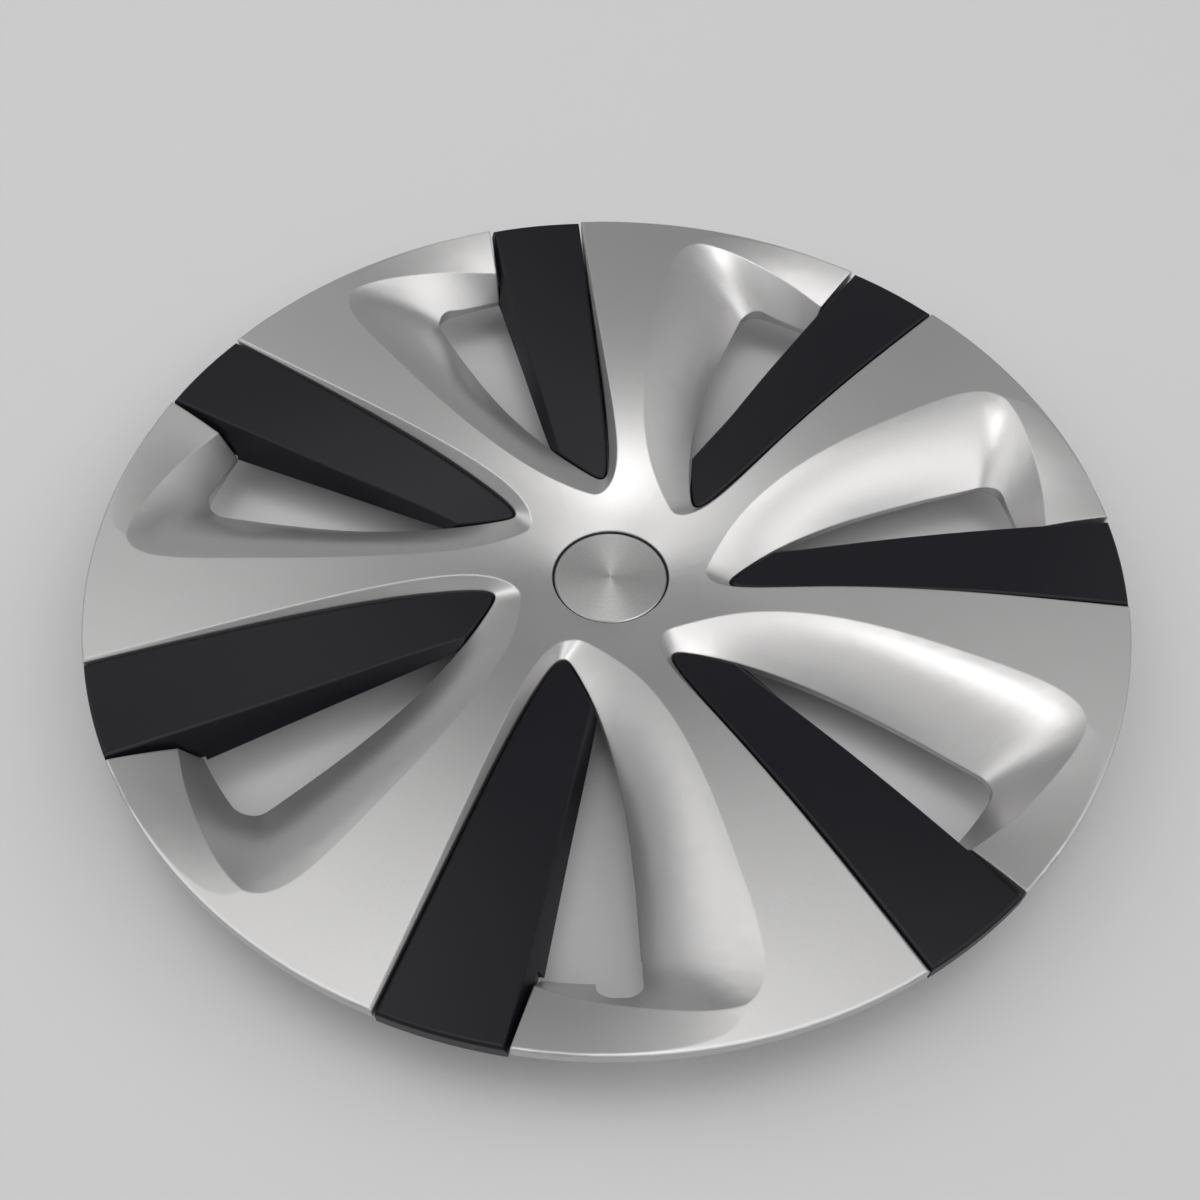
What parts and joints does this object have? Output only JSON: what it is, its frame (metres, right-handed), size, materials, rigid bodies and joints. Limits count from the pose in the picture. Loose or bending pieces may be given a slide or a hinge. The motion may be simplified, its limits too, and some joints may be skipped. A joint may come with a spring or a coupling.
{
  "type": "wheel aero cover",
  "caption": "Round dished wheel cover: a silver spoked shell with black sloped blades beside open windows, a plain centre badge and spring clips behind.",
  "frame": {"origin": "on the wheel axis, level with the flat undersides of the spring clips that the cover lies on", "axes": "+Z out of the front face along the wheel axis, -Y towards the valve notch side"},
  "size_m": [0.48, 0.48, 0.0469],
  "materials": {
    "silver_paint": "satin silver metallic paint over moulded plastic",
    "black_grain": "fine-grained black moulded plastic",
    "spring_steel": "bare spring steel strip",
    "black_cup": "smooth black moulded plastic",
    "brushed_badge": "spun-brushed metal with a bright bevel",
    "zinc_screw": "zinc-plated steel"
  },
  "bodies": {
    "root": {"front_cover": "silver_paint", "blade_1": "black_grain", "blade_2": "black_grain", "blade_3": "black_grain", "blade_4": "black_grain", "blade_5": "black_grain", "blade_6": "black_grain", "blade_7": "black_grain", "retaining_clip_1": "spring_steel", "retaining_clip_2": "spring_steel", "retaining_clip_3": "spring_steel", "retaining_clip_4": "spring_steel", "retaining_clip_5": "spring_steel", "retaining_clip_6": "spring_steel", "retaining_clip_7": "spring_steel", "badge_carrier": "black_cup", "badge_disc": "brushed_badge", "blade_screws": "zinc_screw"}
  },
  "joints": []
}
